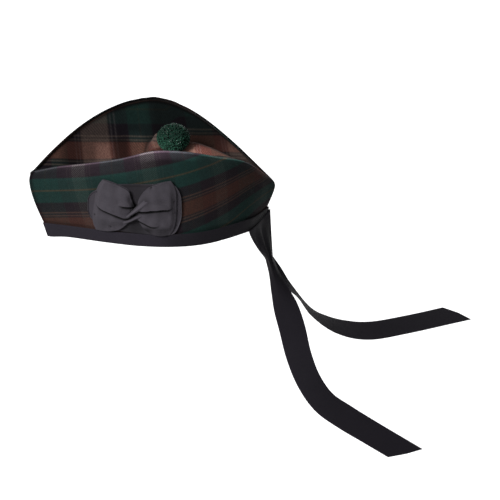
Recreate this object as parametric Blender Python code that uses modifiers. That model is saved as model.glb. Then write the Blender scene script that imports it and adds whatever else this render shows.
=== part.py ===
"""A tartan glengarry: a soft cap with two side walls, a pleated crown, a bound rim, a ribbon
cockade on its left side, a wool pompom and two ribbon tails at the back.

Units are metres and +Z is up. The front of the cap points to -X, the wearer's left side faces
-Y, and the origin is the middle of the rim's opening, where the cap sits on a head.
"""
import math

import bmesh
import bpy
from mathutils import Vector

# Driving dimensions.
RIM_LENGTH = 0.222       # the opening, from its front point to its back, outside the cloth
RIM_WIDTH = 0.136        # the opening, side to side
RIM_DIP = 0.004          # how far the rim drops towards the back seam
CAP_LENGTH = 0.252       # along the two ridges, from the front corner to the back tip
RIDGE_WIDTH = 0.107      # from one ridge to the other at the widest place
LEFT_HEIGHT = 0.098      # the left ridge over the rim
RIGHT_HEIGHT = 0.117     # the right ridge over the rim
BELLY = 0.0045           # how far the walls stand out under the ridges
CLOTH = 0.002            # wool cloth with its inner layer, at the sides
CROWN_CLOTH = 0.0015     # the single layer of the crown
LEAN = 1.12              # how much thicker a leaning wall is when measured level
CROWN_LEAN = 0.75        # how much of the crown's thickness lies outside its edge's middle
EDGE_ROOM = 0.0008       # between the cloth's lower edge and the fold of the binding
RIBBON = 0.001           # one layer of ribbon with its dressing
BINDING_HEIGHT = 0.013   # the ribbon folded in half over the rim
TAIL_WIDTH = 0.026       # the ribbon at its full width
LEFT_TAIL_DROP = 0.254   # how far the left tail's end lies under the rim
RIGHT_TAIL_DROP = 0.138  # the same for the right tail, which swings further back
LEFT_TAIL_REACH = 0.145  # how far the left tail's end lies behind the back seam
RIGHT_TAIL_REACH = 0.218
BOW_WIDTH = 0.098        # the cockade, outer fold to outer fold
BOW_HEIGHT = 0.056
BOW_PUFF = 0.005         # how far its loops stand off the wall
BOW_ALONG = -0.0345      # the cockade's middle along the cap
BOW_CLEAR = 0.003        # between its lower edge and the binding
POMPOM_RADIUS = 0.0155
POMPOM_ALONG = 0.0212
LOCK_DEPTH = 0.0012      # how far the pompom's locks stand out of its head
GAP = 0.0003             # between pieces that touch
SLACK = 0.0006           # between the cloth and the ribbon folded over it, which bend unlike

# How finely the soft forms are cut.
WALL_COLUMNS = 32
BACK_CROWDING = 0.5      # how much closer the columns lie at the back, where the walls turn most
CROWN_COLUMNS = 28
CROWN_ROWS = 16
TAIL_COLUMNS = 36
TAIL_ROWS = 4
BASE_GRID = (14, 4)
LOOP_GRID = (16, 8)
FOLD_GRID = (10, 6)


def table(columns, *rows):
    """A table with named columns, one row for each section."""
    return {name: [row[i] for row in rows] for i, name in enumerate(columns.split())}


# The two side walls, from the front seam (at 0) to the back seam (at 1). Each `along` is a share
# of the rim's or the cap's length, each `half` of the rim's or the ridges' width, each `up` of
# that side's height.
SIDES = table(
    "at     rim_along rim_half left_along left_half left_up right_along right_half right_up",
    (0.000, -0.479, 0.000, -0.484, 0.000, 0.673, -0.484, 0.000, 0.564),
    (0.125, -0.378, 0.118, -0.389, 0.121, 0.776, -0.389, 0.126, 0.709),
    (0.250, -0.261, 0.265, -0.282, 0.258, 0.831, -0.270, 0.271, 0.855),
    (0.375, -0.131, 0.404, -0.167, 0.388, 0.903, -0.151, 0.393, 0.951),
    (0.500, 0.000, 0.487, -0.046, 0.477, 0.955, -0.032, 0.477, 0.998),
    (0.625, 0.140, 0.500, 0.079, 0.500, 0.935, 0.087, 0.500, 0.986),
    (0.750, 0.279, 0.415, 0.214, 0.430, 0.830, 0.214, 0.425, 0.860),
    (0.875, 0.405, 0.272, 0.349, 0.262, 0.684, 0.341, 0.266, 0.636),
    (1.000, 0.505, 0.000, 0.489, 0.000, 0.367, 0.489, 0.000, 0.308),
)

# How far a wall stands out of the straight line from rim to ridge, as a share of BELLY.
WALL_PROFILE = table(
    "at   out",
    (0.00, 0.00),
    (0.25, 0.36),
    (0.50, 0.76),
    (0.70, 1.00),
    (0.86, 0.97),
    (0.95, 0.58),
    (1.00, 0.00),
)
WALL_ROWS = (0.0, 0.16, 0.32, 0.48, 0.62, 0.75, 0.86, 0.94, 1.0)
DIP_FROM = 0.8           # where the rim starts to drop, on its way to the back seam

# The crown between the ridges, as shares of the right ridge's height: the foot of its fall from
# the left ridge, its middle and the foot of its fall from the right ridge.
CROWN = table(
    "at    left_foot middle right_foot",
    (0.050, 0.572, 0.560, 0.580),
    (0.125, 0.555, 0.535, 0.575),
    (0.250, 0.520, 0.490, 0.555),
    (0.375, 0.515, 0.485, 0.565),
    (0.500, 0.525, 0.520, 0.600),
    (0.560, 0.545, 0.618, 0.640),
    (0.625, 0.545, 0.640, 0.620),
    (0.690, 0.545, 0.676, 0.600),
    (0.750, 0.535, 0.680, 0.585),
    (0.875, 0.466, 0.516, 0.496),
    (0.960, 0.372, 0.376, 0.378),
)
# Where the crown starts and ends between the seams, and where its feet stand between the ridges.
CROWN_SPAN = {"front": 0.06, "back": 0.955, "left_foot": 0.29, "right_foot": 0.71}

# The hump that the crown's gathers push up beside the pompom: its place behind and beside the
# pompom's middle, its rise and its spread, as shares of the pompom's radius.
HUMP = {"along": -0.88, "across": 0.90, "rise": 0.80, "long": 0.55, "wide": 0.60}

# The direction that the hanging ribbons' faces lie open to: left, a little forward and up.
FACING = Vector((-0.243, -0.908, 0.342))

# The tails after their gather, as shares of their reach behind the seam, of TAIL_WIDTH to the
# left and of their drop. `half` and `cup` are shares of TAIL_WIDTH, across the ribbon and out of
# it; `turn` is the twist of its face away from FACING, in degrees.
LEFT_TAIL = table(
    "at    back  aside  down   half  cup    turn",
    (0.13, 0.043, 0.150, 0.173, 0.150, 0.330, 0.0),
    (0.19, 0.076, 0.230, 0.240, 0.200, 0.250, 0.0),
    (0.25, 0.110, 0.310, 0.307, 0.330, 0.140, 0.0),
    (0.32, 0.152, 0.400, 0.382, 0.480, 0.050, 0.0),
    (0.40, 0.193, 0.540, 0.470, 0.520, 0.020, 0.0),
    (0.50, 0.238, 0.690, 0.590, 0.510, 0.030, 6.0),
    (0.60, 0.310, 0.760, 0.702, 0.500, 0.040, 8.0),
    (0.70, 0.420, 0.830, 0.800, 0.500, 0.030, 4.0),
    (0.80, 0.580, 0.880, 0.876, 0.510, 0.020, 0.0),
    (0.90, 0.774, 0.960, 0.956, 0.500, 0.010, 0.0),
    (1.00, 1.038, 1.040, 1.063, 0.500, 0.000, 0.0),
)
RIGHT_TAIL = table(
    "at    back  aside  down   half  cup    turn",
    (0.15, 0.032, 0.020, 0.330, 0.150, -0.300, 0.0),
    (0.22, 0.070, -0.080, 0.430, 0.190, -0.220, 20.0),
    (0.30, 0.120, -0.230, 0.560, 0.270, -0.120, 56.0),
    (0.40, 0.199, -0.380, 0.709, 0.410, -0.040, 84.0),
    (0.50, 0.290, -0.540, 0.865, 0.460, 0.020, 70.0),
    (0.62, 0.420, -0.690, 0.996, 0.480, 0.030, 49.0),
    (0.75, 0.565, -0.770, 1.056, 0.500, 0.010, 41.0),
    (0.87, 0.745, -0.770, 1.038, 0.500, -0.010, 41.0),
    (1.00, 1.012, -0.690, 0.978, 0.500, 0.000, 41.0),
)
# How much of the rim each ribbon leaves from, counted from the seam.
SPREAD = {"left": 0.150, "right": 0.080}
# How far each end is cut on the slant, as a share of TAIL_WIDTH, and the share of the tail from
# which that slant tells.
TAIL_END = {"slant": 0.52, "slant_from": 0.8}
# How high over the binding's fold each ribbon leaves it, at its near edge and at the seam, as
# shares of BINDING_HEIGHT, and how much more it drops than turns in on its way to the gather.
TAIL_START = {"near": 0.02, "seam": 0.62, "hang": 1.25}

# The cockade's two loops from the pinch (at 0) to the outer fold (at 1): their upper and lower
# edges as shares of BOW_HEIGHT, and how far the ribbon stands off as a share of BOW_PUFF.
LEFT_LOOP = table(
    "at    top   bottom stand",
    (0.00, 0.080, -0.090, 0.10),
    (0.25, 0.215, -0.260, 0.60),
    (0.50, 0.395, -0.365, 1.00),
    (0.70, 0.510, -0.390, 0.90),
    (0.88, 0.400, -0.375, 0.60),
    (1.00, 0.140, -0.160, 0.35),
)
RIGHT_LOOP = table(
    "at    top   bottom stand",
    (0.00, 0.090, -0.080, 0.10),
    (0.25, 0.310, -0.200, 0.60),
    (0.45, 0.500, -0.270, 1.00),
    (0.75, 0.580, -0.330, 0.90),
    (0.90, 0.450, -0.335, 0.60),
    (1.00, 0.200, 0.000, 0.35),
)
# Where the loops leave the pinch and where each folds back, as shares of BOW_WIDTH; how many
# ribbons deep a loop is at its edges and how deep its ripples are; and how much of its puff is
# left at its upper and lower edges.
LOOP = {"start": 0.06, "left": 0.447, "right": 0.490, "layers": 2.5, "ripple": 0.8, "edge": 0.35}
# The backing: how far it shows past each loop, as a share of BOW_WIDTH, its half height at its ends
# and middle, and how far its middle is raised, as shares of BOW_HEIGHT.
BACKING = {"past": 0.008, "end": 0.16, "middle": 0.44, "lift": 0.05}
# The crossing fold: its half length each way as a share of BOW_HEIGHT, its half width at the pinch
# and what it gains towards its ends as shares of BOW_WIDTH, how many ribbons deep it lies, and how
# far its long edges turn down as a share of BOW_PUFF.
CENTRE_FOLD = {"length": 0.18, "waist": 0.033, "flare": 0.023, "layers": 4.3, "turn_down": 0.2}


def read(source, name, at):
    """A smooth curve through one column of a table, read between its rows."""
    knots = source["at"]
    values = source[name]
    last = len(knots) - 1
    at = min(max(at, knots[0]), knots[last])
    i = 0
    while i < last - 1 and at > knots[i + 1]:
        i += 1

    def slope(j):
        low = max(j - 1, 0)
        high = min(j + 1, last)
        return (values[high] - values[low]) / (knots[high] - knots[low])

    span = knots[i + 1] - knots[i]
    t = (at - knots[i]) / span
    return ((2 * t ** 3 - 3 * t ** 2 + 1) * values[i]
            + (t ** 3 - 2 * t ** 2 + t) * span * slope(i)
            + (3 * t ** 2 - 2 * t ** 3) * values[i + 1]
            + (t ** 3 - t ** 2) * span * slope(i + 1))


def ease(t):
    """Goes from 0 to 1 with no corner at either end."""
    t = min(max(t, 0.0), 1.0)
    return t * t * (3 - 2 * t)


def crowd(t):
    """Shares from 0 to 1 that lie closer together near the back."""
    return t * (1 + BACK_CROWDING * (1 - t))


def clear_scene():
    for item in list(bpy.data.objects):
        bpy.data.objects.remove(item, do_unlink=True)


def collection(name):
    made = bpy.data.collections.new(name)
    bpy.context.scene.collection.children.link(made)
    return made


def finish(name, colour, roughness):
    """A cloth's or ribbon's own plain material."""
    material = bpy.data.materials.new(name)
    material.use_nodes = True
    shader = material.node_tree.nodes["Principled BSDF"]
    shader.inputs["Base Color"].default_value = (*colour, 1.0)
    shader.inputs["Roughness"].default_value = roughness
    shader.inputs["Metallic"].default_value = 0.0
    return material


def add(name, mesh, material, group, smooth_angle=50.0):
    """An object of the given mesh, shaded smooth with its sharp edges kept."""
    mesh.materials.append(material)
    mesh.shade_smooth()
    mesh.set_sharp_from_angle(angle=math.radians(smooth_angle))
    item = bpy.data.objects.new(name, mesh)
    group.objects.link(item)
    return item


def shaped_grid(name, columns, rows, place, closed=False):
    """A grid whose vertices go where place(u, v) says, u and v running from 0 to 1."""
    form = bmesh.new()
    bmesh.ops.create_grid(form, x_segments=columns, y_segments=rows, size=0.5)
    for vertex in form.verts:
        vertex.co = place(vertex.co.x + 0.5, vertex.co.y + 0.5)
    if closed:
        bmesh.ops.remove_doubles(form, verts=form.verts, dist=1e-6)
        bmesh.ops.recalc_face_normals(form, faces=form.faces)
    mesh = bpy.data.meshes.new(name)
    form.to_mesh(mesh)
    form.free()
    return mesh


def thicken(item, thickness, offset=-1.0):
    """Gives a sheet its thickness; an offset of -1 goes inwards from the outer face."""
    solid = item.modifiers.new("thickness", "SOLIDIFY")
    solid.thickness = thickness
    solid.offset = offset
    solid.use_even_offset = False


def half_space(name, side, group):
    """A cutter that keeps what lies on one side of the seams."""
    bpy.ops.mesh.primitive_cube_add(size=1.0)
    box = bpy.context.object
    box.name = name
    for owner in list(box.users_collection):
        owner.objects.unlink(box)
    group.objects.link(box)
    box.scale = (2 * CAP_LENGTH, RIM_WIDTH, 3 * RIGHT_HEIGHT)
    box.location = (0.0, side * (RIM_WIDTH + GAP) / 2, 0.0)
    box.hide_render = True
    box.display_type = "WIRE"
    return box


def rim_point(side, u):
    """The rim's lower edge, outside the cloth."""
    return Vector((RIM_LENGTH * read(SIDES, "rim_along", u),
                   side * RIM_WIDTH * read(SIDES, "rim_half", u),
                   -RIM_DIP * ease((u - DIP_FROM) / (1 - DIP_FROM))))


def ridge_point(side, u):
    """The ridge where a side wall meets the crown."""
    name = "left" if side < 0 else "right"
    height = LEFT_HEIGHT if side < 0 else RIGHT_HEIGHT
    return Vector((CAP_LENGTH * read(SIDES, name + "_along", u),
                   side * RIDGE_WIDTH * read(SIDES, name + "_half", u),
                   height * read(SIDES, name + "_up", u)))


def wall_point(side, u, v):
    """A side wall's outer face: u runs from front to back, v from the rim up to the ridge."""
    point = rim_point(side, u).lerp(ridge_point(side, u), v)
    turn = math.pi * u
    out = Vector((-math.cos(turn), side * math.sin(turn), 0.0))
    return point + out * BELLY * read(WALL_PROFILE, "out", v)


def share_at_height(side, u, height):
    """How far up a wall a height over the rim lies."""
    return height / (ridge_point(side, u).z - rim_point(side, u).z)


def outward(side, u, v):
    """The level direction that faces out of a side wall."""
    step = 0.01
    ahead = wall_point(side, min(u + step, 1.0), v)
    behind = wall_point(side, max(u - step, 0.0), v)
    run = ahead - behind
    return Vector((-side * run.y, side * run.x, 0.0)).normalized()


def side_wall(name, side, material, group, cutter):
    """One side wall, cut off at the seams in the middle of the cap."""
    bottom = RIBBON + GAP + EDGE_ROOM
    lap = 2 * GAP

    def raw(u, row):
        low = share_at_height(side, u, bottom)
        bound = share_at_height(side, u, BINDING_HEIGHT)
        if row == 0:
            return wall_point(side, u, low)
        return wall_point(side, u, bound + (1 - bound) * WALL_ROWS[row - 1])

    def place(u, v):
        row = round(v * len(WALL_ROWS))
        point = raw(crowd(u), row)
        column = round(u * WALL_COLUMNS)
        if column in (0, WALL_COLUMNS):
            inner = raw(crowd((1 if column == 0 else WALL_COLUMNS - 1) / WALL_COLUMNS), row)
            point += (point - inner) * lap / abs(inner.y)
        return point

    mesh = shaped_grid(name, WALL_COLUMNS, len(WALL_ROWS), place)
    if side > 0:
        mesh.flip_normals()
    wall = add(name, mesh, material, group)
    thicken(wall, CLOTH)
    cut = wall.modifiers.new("seams", "BOOLEAN")
    cut.operation = "INTERSECT"
    cut.object = cutter
    return wall


def crown_edge(side, u):
    """The crown's edge, just inside a wall's ridge."""
    inset = CLOTH + GAP + CROWN_CLOTH * CROWN_LEAN
    return ridge_point(side, u) - outward(side, u, 1.0) * inset


def crown_point(u, v):
    """The crown's upper face: u from front to back, v from the left ridge to the right one."""
    left = crown_edge(-1, u)
    right = crown_edge(1, u)
    feet = table(
        "at   share height",
        (0.0, 0.0, left.z),
        (0.3, CROWN_SPAN["left_foot"], RIGHT_HEIGHT * read(CROWN, "left_foot", u)),
        (0.5, 0.5, RIGHT_HEIGHT * read(CROWN, "middle", u)),
        (0.7, CROWN_SPAN["right_foot"], RIGHT_HEIGHT * read(CROWN, "right_foot", u)),
        (1.0, 1.0, right.z),
    )
    point = left.lerp(right, read(feet, "share", v))
    point.z = read(feet, "height", v)
    along = ((point.x - POMPOM_ALONG) / POMPOM_RADIUS - HUMP["along"]) / HUMP["long"]
    across = (point.y / POMPOM_RADIUS - HUMP["across"]) / HUMP["wide"]
    point.z += POMPOM_RADIUS * HUMP["rise"] * math.exp(-along ** 2 - across ** 2)
    return point


def crown(material, group):
    """The crown: one sheet that falls from both ridges into a deep pleat."""
    front = CROWN_SPAN["front"]
    back = CROWN_SPAN["back"]

    def place(u, v):
        return crown_point(front + (back - front) * u, v)

    sheet = add("crown", shaped_grid("crown", CROWN_COLUMNS, CROWN_ROWS, place), material, group)
    thicken(sheet, CROWN_CLOTH)
    return sheet


def rim_ring(height):
    """Points round the rim at one height, with the mitred outward direction at each."""
    stops = [(-1, crowd(i / WALL_COLUMNS)) for i in range(WALL_COLUMNS)]
    stops += [(1, crowd(1 - i / WALL_COLUMNS)) for i in range(WALL_COLUMNS)]
    points = [wall_point(side, u, share_at_height(side, u, height)) for side, u in stops]
    ring = []
    for i, point in enumerate(points):
        before = point - points[i - 1]
        after = points[(i + 1) % len(points)] - point
        first = Vector((before.y, -before.x, 0.0)).normalized()
        second = Vector((after.y, -after.x, 0.0)).normalized()
        ring.append((point, (first + second) / (1 + first.dot(second))))
    return ring


def binding_section():
    """The binding's U-shaped section: distance out of the cloth's face, and height."""
    outer = SLACK + RIBBON
    inner = -(CLOTH * LEAN + SLACK + RIBBON)
    top = BINDING_HEIGHT
    return ((outer, 0.0), (outer, top), (outer - RIBBON, top), (outer - RIBBON, RIBBON),
            (inner + RIBBON, RIBBON), (inner + RIBBON, top), (inner, top), (inner, 0.0))


def rim_binding(material, group):
    """The ribbon folded over the rim, all the way round."""
    section = binding_section()
    rings = {height: rim_ring(height) for out, height in section}
    count = 2 * WALL_COLUMNS

    def place(u, v):
        out, height = section[round(v * len(section)) % len(section)]
        point, direction = rings[height][round(u * count) % count]
        return point + direction * out

    mesh = shaped_grid("rim_binding", count, len(section), place, closed=True)
    return add("rim_binding", mesh, material, group, smooth_angle=40.0)


def tail_point(source, side, drop, reach, s, w):
    """A hanging ribbon's middle layer: s along it from its gather, w across from -1 to 1."""
    seam = rim_point(1, 1.0)

    def centre(at):
        return Vector((seam.x + reach * read(source, "back", at),
                       -TAIL_WIDTH * read(source, "aside", at),
                       -drop * read(source, "down", at)))

    slant = TAIL_END["slant"] * TAIL_WIDTH / (drop + reach) * side * w
    slant_from = TAIL_END["slant_from"]
    at = s * (1 - slant * ease((s - slant_from) / (1 - slant_from)))
    run = (centre(min(at + 0.01, 1.0)) - centre(max(min(at, 1.0) - 0.01, 0.0))).normalized()
    overrun = max(at - 1.0, 0.0) * (drop + reach)
    level = FACING.cross(run).normalized()
    open_to = run.cross(level)
    turn = math.radians(read(source, "turn", s))
    across = level * math.cos(turn) + open_to * math.sin(turn)
    face = run.cross(across)
    return (centre(at) + run * overrun + across * w * TAIL_WIDTH * read(source, "half", s)
            + face * TAIL_WIDTH * read(source, "cup", s) * (1 - w * w))


def tail(name, source, side, spread, drop, reach, material, group):
    """A ribbon that spreads from the back of the rim, gathers and hangs free."""
    gather = source["at"][0]
    stand = SLACK + RIBBON + 2 * GAP + RIBBON / 2

    def rim_edge(w):
        share = (w + 1) / 2
        u = 1 - spread * (1 - share)
        height = BINDING_HEIGHT * (TAIL_START["near"] * (1 - share) + TAIL_START["seam"] * share)
        v = share_at_height(side, u, height)
        return wall_point(side, u, v) + outward(side, u, v) * stand

    def place(u, v):
        w = 2 * v - 1
        if u >= gather:
            return tail_point(source, side, drop, reach, u, w)
        share = u / gather
        top = rim_edge(w)
        end = tail_point(source, side, drop, reach, gather, w)
        point = top.lerp(end, share ** TAIL_START["hang"])
        point.z = top.z + (end.z - top.z) * share
        return point

    mesh = shaped_grid(name, TAIL_COLUMNS, TAIL_ROWS, place)
    ribbon = add(name, mesh, material, group)
    thicken(ribbon, RIBBON, 0.0)
    return ribbon


def bow_up():
    """How high the cockade's middle sits over the rim, with its lower edge over the binding."""
    lowest = -min(LEFT_LOOP["bottom"] + RIGHT_LOOP["bottom"])
    return BINDING_HEIGHT + BOW_CLEAR + BOW_HEIGHT * lowest


def wall_at(along, height, guess=0.4):
    """The place on the left wall, as u and v, that lies at one point along the cap and height."""
    u = guess
    for _ in range(10):
        v = share_at_height(-1, u, height)
        u += (along - wall_point(-1, u, v).x) / CAP_LENGTH
    return u, share_at_height(-1, u, height)


def bow_point(along, up, stand):
    """A point of the cockade: along and up the left wall from its middle, and off its face."""
    steps = 12
    middle = bow_up()
    u, v = wall_at(BOW_ALONG, middle)
    here = wall_point(-1, u, v)
    for _ in range(steps):
        ahead = wall_point(-1, u + 0.01, v)
        u += along / steps / ((ahead - here).length / 0.01)
        v = share_at_height(-1, u, middle)
        here = wall_point(-1, u, v)
    u, v = wall_at(here.x, middle + up, u)
    return wall_point(-1, u, v) + outward(-1, u, v) * (GAP + stand)


def bow_base(material, group):
    """The flat ribbon rosette that the loops are sewn to."""
    left = BOW_WIDTH * (LOOP["left"] + BACKING["past"])
    right = BOW_WIDTH * (LOOP["right"] + BACKING["past"])

    def place(u, v):
        side = 2 * u - 1
        round_off = 1 - side ** 4
        half = BOW_HEIGHT * (BACKING["end"] + (BACKING["middle"] - BACKING["end"]) * round_off)
        lift = BOW_HEIGHT * BACKING["lift"] * (1 - side ** 2)
        return bow_point(side * (left if side < 0 else right), lift + half * (2 * v - 1), RIBBON)

    sheet = add("cockade_base", shaped_grid("cockade_base", *BASE_GRID, place), material, group)
    thicken(sheet, RIBBON)
    return sheet


def bow_loop(name, source, side, material, group):
    """One loop: a front layer from the pinch, folded at its outer edge, and a back layer."""
    back = RIBBON + GAP
    start = BOW_WIDTH * LOOP["start"]
    end = BOW_WIDTH * (LOOP["left"] if side < 0 else LOOP["right"])

    def front_stand(share, v):
        middle = 1 - (2 * v - 1) ** 2
        puff = BOW_PUFF * read(source, "stand", share) * (LOOP["edge"] + (1 - LOOP["edge"]) * middle)
        ripple = LOOP["ripple"] * math.cos(6 * math.pi * v) * math.sin(math.pi * share)
        return RIBBON * (LOOP["layers"] + ripple) + puff

    def place(u, v):
        share = 1 - abs(2 * u - 1)
        low = BOW_HEIGHT * read(source, "bottom", share)
        high = BOW_HEIGHT * read(source, "top", share)
        stand = 0.0
        if u < 0.5:
            stand = front_stand(share, v)
        elif u == 0.5:
            stand = RIBBON
        return bow_point(side * (start + (end - start) * share), low + (high - low) * v, back + stand)

    mesh = shaped_grid(name, *LOOP_GRID, place)
    if side < 0:
        mesh.flip_normals()
    loop = add(name, mesh, material, group)
    thicken(loop, RIBBON, -1.0)
    return loop


def bow_centre(material, group):
    """The ribbon that crosses the pinch on the slant, from upper back to lower front."""
    def place(u, v):
        along = 2 * u - 1
        across = 2 * v - 1
        run = BOW_HEIGHT * CENTRE_FOLD["length"] * along
        width = BOW_WIDTH * (CENTRE_FOLD["waist"] + CENTRE_FOLD["flare"] * along ** 2) * across
        stand = RIBBON * CENTRE_FOLD["layers"] + BOW_PUFF * (1 - CENTRE_FOLD["turn_down"] * across ** 2)
        return bow_point(run - width, run + width, stand)

    sheet = add("bow_centre_fold", shaped_grid("bow_centre_fold", *FOLD_GRID, place), material, group)
    thicken(sheet, RIBBON)
    return sheet


def pompom_height():
    """The height of the pompom's middle, where it just clears the crown under it."""
    needed = []
    for i in range(2 * CROWN_COLUMNS):
        for j in range(2 * CROWN_ROWS):
            point = crown_point((i + 0.5) / (2 * CROWN_COLUMNS), (j + 0.5) / (2 * CROWN_ROWS))
            aside = math.hypot(point.x - POMPOM_ALONG, point.y)
            if aside < POMPOM_RADIUS:
                needed.append(point.z + math.sqrt(POMPOM_RADIUS ** 2 - aside ** 2))
    return max(needed) + GAP


def pompom(material, group):
    """A wool tuft: a head with a lock standing out of each of its facets."""
    form = bmesh.new()
    bmesh.ops.create_icosphere(form, subdivisions=3, radius=POMPOM_RADIUS - LOCK_DEPTH)
    poked = bmesh.ops.poke(form, faces=form.faces)
    for vertex in poked["verts"]:
        vertex.co = vertex.co.normalized() * POMPOM_RADIUS
    bmesh.ops.translate(form, verts=form.verts, vec=(POMPOM_ALONG, 0.0, pompom_height()))
    mesh = bpy.data.meshes.new("pompom")
    form.to_mesh(mesh)
    form.free()
    return add("pompom", mesh, material, group)


def build():
    clear_scene()
    parts = collection("glengarry")
    cutters = collection("glengarry_cutters")

    tartan = finish("wool_tartan", (0.022, 0.040, 0.034), 0.90)
    ribbon = finish("black_ribbon", (0.014, 0.013, 0.018), 0.60)
    cockade = finish("charcoal_ribbon", (0.062, 0.056, 0.068), 0.65)
    wool = finish("green_wool", (0.012, 0.085, 0.045), 0.95)

    left_half = half_space("left_half", -1, cutters)
    right_half = half_space("right_half", 1, cutters)
    side_wall("side_left", -1, tartan, parts, left_half)
    side_wall("side_right", 1, tartan, parts, right_half)
    crown(tartan, parts)
    rim_binding(ribbon, parts)
    bow_base(cockade, parts)
    bow_loop("bow_left_loop", LEFT_LOOP, -1, cockade, parts)
    bow_loop("bow_right_loop", RIGHT_LOOP, 1, cockade, parts)
    bow_centre(cockade, parts)
    pompom(wool, parts)
    tail("ribbon_tail_left", LEFT_TAIL, -1, SPREAD["left"], LEFT_TAIL_DROP, LEFT_TAIL_REACH,
         ribbon, parts)
    tail("ribbon_tail_right", RIGHT_TAIL, 1, SPREAD["right"], RIGHT_TAIL_DROP, RIGHT_TAIL_REACH,
         ribbon, parts)


build()
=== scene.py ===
"""The looks of a tartan glengarry: twilled wool, a ribbon binding, a bow cockade, a yarn pompom
and two ribbon tails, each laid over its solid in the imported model.

Metres, +Z up, the front of the cap to -X and the wearer's left side to -Y.
"""
import math
import random
from functools import lru_cache

import bmesh
import bpy
from mathutils import Matrix, Vector, noise


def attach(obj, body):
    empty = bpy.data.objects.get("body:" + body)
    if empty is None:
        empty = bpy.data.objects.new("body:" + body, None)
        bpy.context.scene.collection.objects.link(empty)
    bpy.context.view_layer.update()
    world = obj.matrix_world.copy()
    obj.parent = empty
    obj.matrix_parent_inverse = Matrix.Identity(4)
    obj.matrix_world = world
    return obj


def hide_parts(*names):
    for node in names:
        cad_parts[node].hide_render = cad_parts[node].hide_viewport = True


# The cap's sizes, the same as its solids'.
RIM_LENGTH = 0.222
RIM_WIDTH = 0.136
RIM_DIP = 0.004
DIP_FROM = 0.8
CAP_LENGTH = 0.252
RIDGE_WIDTH = 0.107
LEFT_HEIGHT = 0.098
RIGHT_HEIGHT = 0.117
BELLY = 0.0045
CLOTH = 0.002
CROWN_CLOTH = 0.0015
RIBBON = 0.001
BINDING_HEIGHT = 0.013
TAIL_WIDTH = 0.026
BOW_WIDTH = 0.098
BOW_HEIGHT = 0.056
BOW_ALONG = -0.0345
BOW_UP = 0.0378
POMPOM_RADIUS = 0.0155
POMPOM_MIDDLE = Vector((0.0212, 0.0, 0.0912))
GAP = 0.0003

HANDS = {-1: "left", 1: "right"}   # the sides of the cap, by the sign of Y
ROLLS = {-1: 0.0026, 1: 0.0020}    # how round each ridge is
SHEET_RIBBON = 0.0005    # a single ribbon where its edge can be seen
SLACK = 0.0006           # how far a ribbon stands off the cloth under it
WALL_SWELLS = (0.0009, 0.0003)     # a wall's soft unevenness, broad and small
RIDGE_SWELL = 0.0006     # how far a wall swells just under its ridge
RIDGE_LUMPS = 0.0012     # the uneven ridge by the pompom
SEAM_PULL = 0.0007       # how far the seams at the front and the back are pulled in
FRONT_BULGE = 0.0022     # how far the middle of the front seam stands forward
CROWN_SWELLS = (0.0018, 0.0005)    # the crown's soft unevenness
GATHERS = 8              # its gathers round the pompom
GATHER_DEPTH = 0.0011
CORNER_DROP = 0.0020     # how far the binding's front corner reaches down
PLEATS = 5               # the folds in each tail's gather
PLEAT_DEPTH = 0.0013
FLUTTER = 0.0012         # how far a hanging tail wanders
TACK_DEPTH = 0.0014      # how far a thread pulls the cockade down
# FACETS sets both the cockade's crumpled relief and the painted light and shade that goes with it.
FACETS = 0.0011          # the cockade's crumpled unevenness


def table(columns, *rows):
    """A table with named columns, one row for each section."""
    return {name: [row[i] for row in rows] for i, name in enumerate(columns.split())}


# The rim and both ridges from front to back, as shares of the sizes above.
SIDES = table(
    "at     rim_along rim_half left_along left_half left_up right_along right_half right_up",
    (0.000, -0.479, 0.000, -0.484, 0.000, 0.673, -0.484, 0.000, 0.564),
    (0.125, -0.378, 0.118, -0.389, 0.121, 0.752, -0.389, 0.126, 0.709),
    (0.250, -0.261, 0.265, -0.282, 0.258, 0.812, -0.270, 0.271, 0.855),
    (0.375, -0.131, 0.404, -0.167, 0.388, 0.881, -0.151, 0.393, 0.951),
    (0.500, 0.000, 0.487, -0.046, 0.477, 0.960, -0.032, 0.477, 0.998),
    (0.625, 0.140, 0.500, 0.079, 0.500, 0.935, 0.087, 0.500, 0.986),
    (0.750, 0.279, 0.415, 0.214, 0.430, 0.830, 0.214, 0.425, 0.860),
    (0.875, 0.405, 0.272, 0.349, 0.262, 0.684, 0.341, 0.266, 0.636),
    (1.000, 0.505, 0.000, 0.489, 0.000, 0.367, 0.489, 0.000, 0.308),
)
# How far a wall stands out between the rim (at 0) and its ridge (at 1), as shares of BELLY.
WALL_PROFILE = table(
    "at   out",
    (0.00, 0.00),
    (0.25, 0.36),
    (0.50, 0.76),
    (0.70, 1.00),
    (0.86, 0.97),
    (0.95, 0.58),
    (1.00, 0.00),
)
# How high the crown's pleat lies from front to back, as shares of RIGHT_HEIGHT.
CROWN = table(
    "at    left_foot middle right_foot",
    (0.050, 0.572, 0.560, 0.580),
    (0.125, 0.555, 0.535, 0.575),
    (0.250, 0.520, 0.490, 0.555),
    (0.375, 0.515, 0.485, 0.565),
    (0.500, 0.525, 0.520, 0.600),
    (0.560, 0.545, 0.618, 0.640),
    (0.625, 0.545, 0.640, 0.620),
    (0.690, 0.545, 0.700, 0.600),
    (0.750, 0.535, 0.668, 0.585),
    (0.875, 0.466, 0.516, 0.496),
    (0.960, 0.372, 0.376, 0.378),
)
CROWN_FEET = {"left": 0.29, "right": 0.71}   # how far across the crown the pleat's feet lie
# The hump beside the pompom, from the pompom's middle and in its radii.
HUMP = {"along": -0.88, "across": 0.90, "rise": 1.10, "long": 0.55, "wide": 0.60}
FACING = Vector((-0.243, -0.908, 0.342))     # from the cap to the camera
LEVEL = Vector((0.0885, 0.33, 0.94))         # up across the stripes of the crown's far slope

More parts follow.
